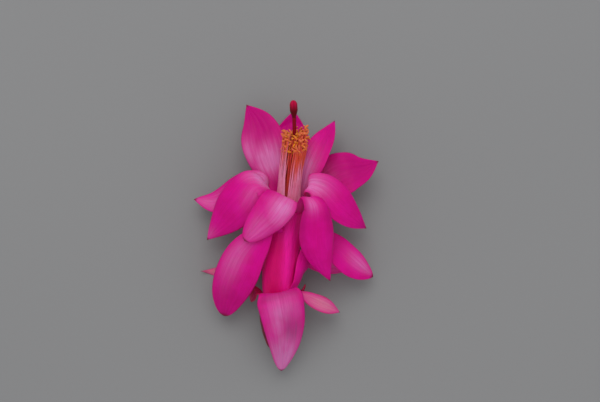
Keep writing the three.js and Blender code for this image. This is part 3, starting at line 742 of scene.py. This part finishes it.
def tube_material():
    """The tube: crimson, its ridges hot magenta and brightened with painted light, with fine dark
    threads.
    """
    r = Recipe(
        "tube_flesh", Specular_IOR_Level=0.13, Subsurface_Weight=0.12, Subsurface_Scale=1 * MM,
        Subsurface_Radius=(1.0, 0.2, 0.4),
    )
    along, turn = r.attribute("along"), r.attribute("turn")
    streaks = r.noise(r.skin_place(turn, along, (0.22, 0.16), 3.0), detail=4.0, roughness=0.55)
    threads = r.noise(r.skin_place(turn, along, (0.7, 0.35), 5.0), detail=2.0)
    clouds = r.noise(r.object_place(), 240.0)
    lively = r.ramp(streaks, (0.25, 0.75), (0.65, 1.25))
    colour = r.blend(r.ramp(clouds, NOISY), TUBE_CRIMSON, TUBE_DARK)
    # Painted highlight and painted light: the bright bands lift the tube's top and sides, the flush
    # its top by the mouth.
    colour = r.blend(r.up_to_one(r.times(r.attribute("bright"), lively)), colour, TUBE_BRIGHT)
    pale = r.times(r.attribute("pale"), r.ramp(streaks, NOISY, (0.6, 1.0)))
    colour = r.blend(pale, colour, PETAL_PALE)
    colour = r.blend(r.ramp(threads, (0.3, 0.6), (0.22, 0.0)), colour, TUBE_THREAD)
    ridged = r.bump(streaks, 0.35, 0.3)
    return r.finish(colour, r.bump(threads, 0.3, 0.1, ridged), clouds, (0.36, 0.5))


def ovary_material():
    """The ovary's dark, waxy maroon skin, greener in the furrows, with a faint grain of cells."""
    r = Recipe(
        "ovary_skin", Specular_IOR_Level=0.3, Subsurface_Weight=0.05, Subsurface_Scale=0.8 * MM,
    )
    place = r.object_place()
    clouds = r.noise(place, 320.0, detail=4.0, roughness=0.6)
    dots = r.cells(place, 2600.0)
    colour = r.blend(r.ramp(clouds, NOISY), OVARY_DARK, OVARY_RED)
    colour = r.blend(r.times(r.attribute("furrow"), 0.4), colour, OVARY_GREEN)
    colour = r.blend(r.ramp(dots, (0.2, 0.5), (0.18, 0.0)), colour, OVARY_FLECK)
    uneven = r.bump(clouds, 0.3, 0.2)
    return r.finish(colour, r.bump(dots, 0.25, 0.05, uneven), clouds, (0.4, 0.55))


def style_material():
    """The style's crimson, paler towards its foot, with fine lengthwise lines."""
    r = Recipe(
        "style_flesh", Specular_IOR_Level=0.1, Subsurface_Weight=0.08, Subsurface_Scale=0.6 * MM,
    )
    place = r.object_place()
    drawn_out = r.node("Mapping", {"Vector": place, "Scale": (2600.0, 260.0, 2600.0)}).outputs[0]
    lines = r.noise(drawn_out, detail=2.0)
    clouds = r.noise(place, 500.0, detail=2.0)
    colour = r.blend(r.ramp(r.attribute("along"), (0.35, 0.9)), STYLE_LOW, STYLE_HIGH)
    colour = r.blend(r.ramp(lines, (0.35, 0.65), (0.3, 0.0)), colour, STYLE_LINE)
    return r.finish(colour, r.bump(lines, 0.3, 0.08), clouds, (0.38, 0.5))


def stigma_material():
    """The stigma: red velvet lobes, darkening to its foot, with painted shade in the furrows
    between them.
    """
    r = Recipe(
        "stigma_velvet", Specular_IOR_Level=0.08, Subsurface_Weight=0.08,
        Subsurface_Scale=0.5 * MM, Sheen_Weight=0.04,
    )
    place = r.object_place()
    nap = r.noise(place, 5200.0, roughness=0.6)
    clouds = r.noise(place, 700.0, detail=2.0)
    colour = r.blend(r.ramp(r.attribute("along"), (0.3, 0.9)), STIGMA_LOW, STIGMA_HIGH)
    # Painted shade in the furrows between the lobes.
    colour = r.blend(r.times(r.attribute("furrow"), 0.6), colour, STIGMA_LOW)
    colour = r.blend(r.ramp(nap, (0.35, 0.65), (0.3, 0.0)), colour, STIGMA_NAP)
    return r.finish(colour, r.bump(nap, 0.5, 0.08), clouds, (0.5, 0.65))


def filament_material():
    """Thin filaments: pale mauve out of the mouth, turning orange-red under the anthers."""
    r = Recipe(
        "filament", Specular_IOR_Level=0.2, Subsurface_Weight=0.15, Subsurface_Scale=0.4 * MM,
        Subsurface_Radius=(1.0, 0.4, 0.5),
    )
    along, tint = r.attribute("along"), r.attribute("tint")
    clouds = r.noise(r.object_place(), 900.0, detail=2.0)
    low = r.blend(tint, FILAMENT_PALE, FILAMENT_ROSE)
    high = r.blend(tint, FILAMENT_ORANGE, FILAMENT_RED)
    turning = r.ramp(r.math("ADD", along, r.times(tint, 0.5)), (0.78, 1.04))
    colour = r.blend(turning, low, high)
    colour = r.blend(r.ramp(clouds, NOISY, (0.0, 0.3)), colour, FILAMENT_ROSE)
    return r.finish(colour, r.bump(clouds, 0.2, 0.05), clouds, (0.4, 0.55))


def anther_material():
    """Anthers full of mustard pollen, with browner and oranger ones among them."""
    r = Recipe("anther_pollen", Specular_IOR_Level=0.12, Sheen_Weight=0.06)
    place = r.object_place()
    grains = r.cells(place, 6500.0)
    clouds = r.noise(place, 1500.0, roughness=0.6)
    colour = r.blend(r.attribute("tint"), ANTHER_MUSTARD, ANTHER_ORANGE)
    colour = r.blend(r.ramp(clouds, (0.35, 0.7), (0.0, 0.6)), colour, ANTHER_BROWN)
    colour = r.blend(r.ramp(grains, (0.1, 0.45), (0.45, 0.0)), colour, ANTHER_POLLEN)
    rough = r.bump(clouds, 0.5, 0.12)
    return r.finish(colour, r.bump(grains, 0.5, 0.06, rough), clouds, (0.65, 0.85))


# The flower's pieces


def tepal_pieces(material):
    for index, (name, form) in enumerate(TEPALS.items()):
        look = dict(PLAIN_LOOK, **LOOKS[name])
        grid = SMALL_GRID if form["width"] < SMALL_WIDTH else LARGE_GRID
        spec = dict(form, **look, phase=PHASE_STEP * index, seed=SEED_STEP * index, grid=grid)
        build_tepal(name, spec, material)


def round_body(low, high, sides, step, radius_at):
    """Rings of a round body between two places along the axis, about a step apart."""
    places = np.linspace(low, high, round((high - low) / step) + 1)
    turns = np.arange(sides) * 360 / sides
    rings = []
    for along in places:
        centre, _, side, up = station(along)
        rings.append([centre + outward(side, up, turn) * radius_at(along, turn) for turn in turns])
    return rings, places, turns


RING_STEP = 0.35
TUBE_SIDES = 120

# The tube's bright bands, partly the hot magenta of its ridges and partly painted highlight and
# painted light on its top and sides: degrees round it, reach in degrees, strength. They fade
# towards its foot, and a flush of painted light joins them near the mouth.
TUBE_BANDS = [(70, 17, 1), (52, 14, 0.55)] + [(at, 22, 0.8) for at in (8, 168, 228, 288, 368)]
BANDS_GROW = (20, 36)  # along the axis
BANDS_LOW = 0.75  # share of their strength at the foot
TUBE_PAINTED_FLUSH = (70, 75, 0.9)
PAINTED_FLUSH_GROWS = (31, 40)
RIDGE_BOLDER = 1.3  # than the solid's ridges
FINE_RIDGES = 14
FINE_HEIGHT = 0.05
FINE_TWIST = 0.12  # radians a millimetre
LIP_DROP = 0.3  # how far the lip rounds off outside, in half walls
LIP_RISE = 1.4  # and inside


def band(turn, at, reach, strength):
    return strength * np.exp(-(((turn - at) / reach) ** 2))


def build_tube(material):
    """The hollow tube, with a rounded lip at its mouth and soft ridges that run into it."""
    foot = OVARY_TOP - 0.2
    lip = TUBE_WALL / 2

    def lip_curve(along):
        rim = max(0.0, along - (MOUTH - lip)) / lip
        return 1 - math.sqrt(max(0.0, 1 - rim**2))

    def outer_radius(along, turn):
        ridges = RIDGE_BOLDER * tube_ridge(turn)
        fine = FINE_RIDGES * math.radians(turn) + FINE_TWIST * along
        ridges += FINE_HEIGHT * math.cos(fine)
        return eased(TUBE_PROFILE, along) + ridges - LIP_DROP * lip * lip_curve(along)

    def inner_radius(along, turn):
        wall = eased(TUBE_PROFILE, along) + tube_ridge(turn) - TUBE_WALL
        return wall + LIP_RISE * lip * lip_curve(along)

    outer, places, turns = round_body(foot, MOUTH, TUBE_SIDES, RING_STEP, outer_radius)
    inner, _, _ = round_body(foot, MOUTH, TUBE_SIDES, RING_STEP, inner_radius)
    build = Builder()
    build.rings(outer + inner[::-1], {}, loop=True)
    along = np.repeat(np.concatenate([places, places[::-1]]), TUBE_SIDES)
    inside = np.repeat([False, True], len(places) * TUBE_SIDES)
    turn = np.tile(turns, 2 * len(places))
    # Bright bands near the ridges, partly painted highlight and painted light.
    bands = sum(band(turn, *row) for row in TUBE_BANDS)
    bands = bands * (BANDS_LOW + (1 - BANDS_LOW) * smoothstep(along, *BANDS_GROW))
    # Painted light on the tube's top by the mouth, where the tepals' claws shade it.
    painted_flush = smoothstep(along, *PAINTED_FLUSH_GROWS) * band(turn, *TUBE_PAINTED_FLUSH)
    attributes = {
        "along": along,
        "turn": turn,
        "bright": np.where(inside, 0.3, np.clip(bands + painted_flush, 0, 1)),
        "pale": np.where(inside, 0.75, 0.0),
    }
    build.piece("floral_tube_flesh", material, "floral_tube", "tube", attributes)


OVARY_ANGLES = 0.16  # height of its five angles
ANGLES_TURN = 0.4  # radians they are turned by
ANGLES_GROW = (0.5, 5)  # along the axis
SCAR_EDGE = 0.35  # how far the foot's edge is drawn in
SCAR_ENDS = 0.9  # along the axis
SCAR_DIP = 0.5  # depth of the scar
SCAR_RINGS = (0.45, 0.75, 0.92)  # shares of the foot's radius


def build_ovary(material):
    """The ovary: a waxy, five-angled barrel that narrows to the scar where it was picked."""

    def radius(along, turn):
        angles = OVARY_ANGLES * math.cos(TUBE_RIDGES * math.radians(turn) + ANGLES_TURN)
        edge = SCAR_EDGE * smoothstep(along, SCAR_ENDS, 0)
        return eased(OVARY_PROFILE, along) + angles * smoothstep(along, *ANGLES_GROW) - edge

    rings, _, turns = round_body(0, OVARY_TOP - 0.05, 80, RING_STEP, radius)
    _, _, side, up = station(0)
    scar = []
    for share in SCAR_RINGS:
        dip = station(SCAR_DIP * (1 - share))[0]
        scar.append([dip + outward(side, up, turn) * radius(0, turn) * share for turn in turns])
    build = Builder()
    build.rings(scar + rings, {})
    turn = np.tile(turns, len(scar) + len(rings))
    furrow = 0.5 - 0.5 * np.cos(TUBE_RIDGES * np.radians(turn) + ANGLES_TURN)
    build.piece("ovary_skin", material, "ovary", "ovary", {"furrow": furrow})


def rod_rings(centres, radii, sides):
    """Rings of a rod through a line of centres, kept from twisting."""
    centres = np.asarray(centres)
    tangents = unit(np.gradient(centres, axis=0))
    side = unit(np.cross(tangents[0], (0.31, 0.17, 0.93)))
    turns = np.arange(sides) * 2 * np.pi / sides
    rings = []
    for row, (centre, tangent, radius) in enumerate(zip(centres, tangents, radii)):
        if row:
            side = carried(side, tangents[row - 1], tangent)
        side = unit(side - tangent * (side @ tangent))
        ring = side * np.cos(turns)[:, None] + np.cross(tangent, side) * np.sin(turns)[:, None]
        rings.append(list(centre + radius * ring))
    return rings


STYLE_RINGS = 70
STYLE_THINNING = 0.12  # share of its radius lost on the way


def build_style(material):
    places = np.linspace(TUBE_FOOT, STIGMA_FOOT + 0.2, STYLE_RINGS)
    centres = [station(along)[0] for along in places]
    radii = STYLE_RADIUS * (1 - STYLE_THINNING * smoothstep(places, TUBE_FOOT, STIGMA_FOOT))
    build = Builder("along")
    shares = np.linspace(0, 1, STYLE_RINGS)
    build.rings(rod_rings(centres, radii, sides=24), {"along": shares})
    build.piece("style_flesh", material, "style", "style")


# The stigma's places count from its foot.
STIGMA_SIDES = 96
STIGMA_STEP = 0.07
NECK_RADIUS = 0.6
CLUB_RADIUS = 1.1
CLUB_FULL = 2.2  # where it has its full radius
SHOULDER = 3.4  # from where it closes
LOBES_TURN = 0.3  # radians they are turned by
LOBES_GROW = (0.3, 1.8)
LOBE_DEPTH = 0.16  # share of the radius


def build_stigma(material):
    """The velvety lobes, pressed together in a club."""

    def radius(along, turn):
        at = along - STIGMA_FOOT
        lobes = abs(math.cos(STIGMA_LOBES / 2 * math.radians(turn) + LOBES_TURN)) ** 0.6 - 0.75
        closed = max(0.0, (at - SHOULDER) / (STIGMA_LENGTH - SHOULDER))
        crown = math.sqrt(max(0.0, 1 - closed**2.2))
        club = NECK_RADIUS + (CLUB_RADIUS - NECK_RADIUS) * smoothstep(at, 0, CLUB_FULL)
        return max(0.03, club * crown * (1 + LOBE_DEPTH * smoothstep(at, *LOBES_GROW) * lobes))

    low, high = STIGMA_FOOT - 0.1, AXIS_LENGTH - 0.02
    rings, places, turns = round_body(low, high, STIGMA_SIDES, STIGMA_STEP, radius)
    build = Builder()
    build.rings(rings, {})
    along = np.repeat((places - STIGMA_FOOT) / STIGMA_LENGTH, STIGMA_SIDES)
    turn = np.tile(turns, len(rings))
    furrow = 1 - np.abs(np.cos(STIGMA_LOBES / 2 * np.radians(turn) + LOBES_TURN)) ** 0.5
    attributes = {"along": along, "furrow": furrow * smoothstep(along, 0.1, 0.4)}
    build.piece("stigma_lobes", material, "stigma", "stigma", attributes)


# "foot" and "reach" are places along the axis, "slant" how much farther the filaments on the right
# reach, "ring" the radius they stand on, "sway" the span of degrees they turn in, "spread" [share
# of the length, distance from the axis], and "gather" how far a filament may lean in from that by
# its end. No filament comes out in the "bare" angles, which open by "opening" degrees each way
# towards the anthers. "tint" reddens the filaments, "blush" those to the right of the bare angles
# besides, and "pollen" turns the anthers from mustard to orange.
BUNCHES = {
    "inner_stamens": dict(
        count=128, seed=11, foot=26.2, ring=1.5, reach=(59, 65.4), slant=0, radius=0.15, sway=80,
        bare=(101, 105), opening=0, spread=[(0, 1.5), (0.5, 1.75), (0.8, 2.3), (1, 3.1)],
        gather=0.7, tint=(0.65, 1.0), blush=0.0, pollen=(0.0, 0.45),
    ),
    "outer_stamens": dict(
        count=112, seed=29, foot=34.2, ring=3.2, reach=(60, 66.6), slant=0.6, radius=0.16,
        sway=30, bare=(97, 110), opening=13, spread=[(0, 3.2), (0.45, 3.35), (0.8, 3.35), (1, 3.7)],
        gather=0.3, tint=(0.0, 0.35), blush=0.2, pollen=(0.5, 1.0),
    ),
}
BUNCH_DRIFT = (0.35, 0, 0.3)  # how far the bunches lean by their ends
BUNCH_BOW = -0.65  # and bow to the side on the way
FILAMENT_SHARES = np.linspace(0, 1, 26)
FILAMENT_TAPER = (1.15, 0.4)  # shares of the radius: at the foot, and lost by the end
WANDER_OUT = 0.18
WANDER_ROUND = 4  # degrees
PARTING_REACH = 30  # degrees from the bare angles' middle
# The collar's section: ahead of the bunch's foot, out from its ring.
COLLAR = [(-1.4, -0.4), (-1.4, 0.4), (-0.2, 0.42), (0.25, 0.2), (0.25, -0.2), (-0.2, -0.42)]


def stamen_pieces(filament_look, anther_look):
    for name, bunch in BUNCHES.items():
        draw = np.random.default_rng(bunch["seed"])
        filaments, anthers = Builder("along", "tint"), Builder("tint")
        add_collar(filaments, bunch)
        thick, thinning = FILAMENT_TAPER
        radii = bunch["radius"] * (thick - thinning * FILAMENT_SHARES)
        for k in range(bunch["count"]):
            centres, on_right = filament_line(bunch, k, draw)
            rings = rod_rings(centres, radii, sides=7)
            tint = draw.uniform(*bunch["tint"]) + bunch["blush"] * on_right
            filaments.rings(rings, {"along": FILAMENT_SHARES, "tint": [tint] * len(rings)})
            add_anther(anthers, centres, draw, draw.uniform(*bunch["pollen"]))
        filaments.piece(name + "_filaments", filament_look, name, "stamens")
        anthers.piece(name + "_anthers", anther_look, name, "stamens")


def filament_line(bunch, k, draw):
    """The line of a bunch's filament k, and whether it is to the right of the bare angles."""
    low, high = bunch["bare"]
    angle = high + (360 - (high - low)) * (k + draw.uniform(0.1, 0.9)) / bunch["count"]
    end = draw.uniform(*bunch["reach"]) + bunch["slant"] * math.cos(math.radians(angle))
    lean = bunch["sway"] * draw.uniform(-0.5, 0.5)
    wander_out, wander_round = draw.uniform(-1, 1, 2)
    gather = bunch["gather"] * draw.uniform(0, 1)
    from_middle = (angle - (low + high) / 2 + 180) % 360 - 180
    beside = math.exp(-((from_middle / PARTING_REACH) ** 2))
    parting = bunch["opening"] * math.copysign(beside, from_middle)
    centres = []
    for share in FILAMENT_SHARES:
        along = bunch["foot"] + (end - bunch["foot"]) * share
        spread = np.interp(share, *zip(*bunch["spread"])) * (1 - gather * share**3)
        spread += WANDER_OUT * wander_out * math.sin(5 * share)
        turn = angle + lean * share**3 + parting * share**2
        turn += WANDER_ROUND * wander_round * math.sin(6 * share)
        centre = near_axis(along, turn, spread) + np.array(BUNCH_DRIFT) * share**2
        centre[0] += BUNCH_BOW * math.sin(math.pi * share)
        centres.append(centre)
    return np.array(centres), from_middle < 0


def add_collar(build, bunch):
    """The low ring inside the tube that a bunch of filaments stands on."""
    foot, ring = bunch["foot"], bunch["ring"]
    rings = []
    for turn in np.arange(0, 360, 6):
        rings.append([near_axis(foot + ahead, turn, ring + out) for ahead, out in COLLAR])
    build.rings(rings, {"along": [0.0] * len(rings), "tint": [0.3] * len(rings)}, loop=True)


ANTHER_SIDES = 10
ANTHER_GROOVE = 0.3  # depth between its two lobes, as a share of the radius


def add_anther(build, centres, draw, tint):
    """A curved, two-lobed anther that hangs by its back from the end of a filament."""
    end = centres[-1]
    ahead = unit(end - centres[-2])
    way = unit(unit(draw.normal(size=3)) + 0.5 * ahead)
    bend = unit(np.cross(way, draw.normal(size=3)))
    length = draw.uniform(1.5, 2.5)
    thickest = draw.uniform(0.24, 0.4)
    arch = 0.45 * draw.uniform(0.2, 0.9)
    shares = np.linspace(-1, 1, 13)
    line = end + ahead * 0.1 + way * (shares * length / 2)[:, None]
    line = line + bend * (arch * (1 - shares**2))[:, None]
    radii = thickest * np.sqrt(np.clip(1 - np.abs(shares) ** 2.6, 0.004, 1))
    turns = np.arange(ANTHER_SIDES) * 2 * np.pi / ANTHER_SIDES
    groove = 1 - ANTHER_GROOVE * np.exp(-((np.abs(np.cos(turns / 2 + 0.2)) / 0.3) ** 2))
    lobed = []
    for centre, ring in zip(line, rod_rings(line, radii, ANTHER_SIDES)):
        lobed.append([centre + (point - centre) * g for point, g in zip(ring, groove)])
    build.rings(lobed, {"tint": [tint] * len(lobed)})


# Floor, light and camera, in metres but for the lens and the sensor

FLOOR_HALF = 0.9
WINDOW_PLACE = (-0.03, 0.42, 0.61)


def floor():
    mesh = bpy.data.meshes.new("floor")
    corners = [(x * FLOOR_HALF, y * FLOOR_HALF, 0) for x, y in ((-1, -1), (1, -1), (1, 1), (-1, 1))]
    mesh.from_pydata(corners, [], [(0, 1, 2, 3)])
    r = Recipe("floor_pale", Specular_IOR_Level=0.15)
    clouds = r.noise(r.object_place(), 4.0, detail=2.0)
    grain = r.noise(r.object_place(), 900.0, detail=2.0)
    colour = r.blend(r.ramp(clouds, NOISY), FLOOR_LOW, FLOOR_HIGH)
    mesh.materials.append(r.finish(colour, r.bump(grain, 0.05, 0.1), grain, (0.7, 0.8)))
    piece = bpy.data.objects.new("floor", mesh)
    bpy.context.scene.collection.objects.link(piece)


def window():
    """The one lamp, broad and soft, turned to the flower."""
    light = bpy.data.lights.new("window", "AREA")
    light.shape = "DISK"
    light.size = 0.6
    light.energy = 1.92
    light.color = (1.0, 0.99, 0.97)
    lamp = bpy.data.objects.new("window", light)
    lamp.location = WINDOW_PLACE
    away = unit(np.array(WINDOW_PLACE))
    lamp.rotation_euler = (math.acos(away[2]), 0, math.atan2(away[0], -away[1]))
    bpy.context.scene.collection.objects.link(lamp)


def room():
    world = bpy.data.worlds.new("room")
    world.use_nodes = True
    background = world.node_tree.nodes["Background"]
    background.inputs["Color"].default_value = (0.96, 0.97, 1.0, 1)
    background.inputs["Strength"].default_value = 0.56
    bpy.context.scene.world = world
    bpy.context.scene.view_settings.view_transform = "Standard"


def photo_camera():
    """Straight down on the flower, with its length up the picture."""
    camera = bpy.data.cameras.new("camera")
    camera.sensor_width = 36
    camera.lens = 82.98
    camera.clip_start = 0.01
    eye = bpy.data.objects.new("camera", camera)
    eye.location = (0.00415, 0.0108, 0.420)
    bpy.context.scene.collection.objects.link(eye)
    bpy.context.scene.camera = eye


tepal_pieces(petal_material())
build_tube(tube_material())
build_ovary(ovary_material())
build_style(style_material())
build_stigma(stigma_material())
stamen_pieces(filament_material(), anther_material())
floor()
room()
window()
photo_camera()
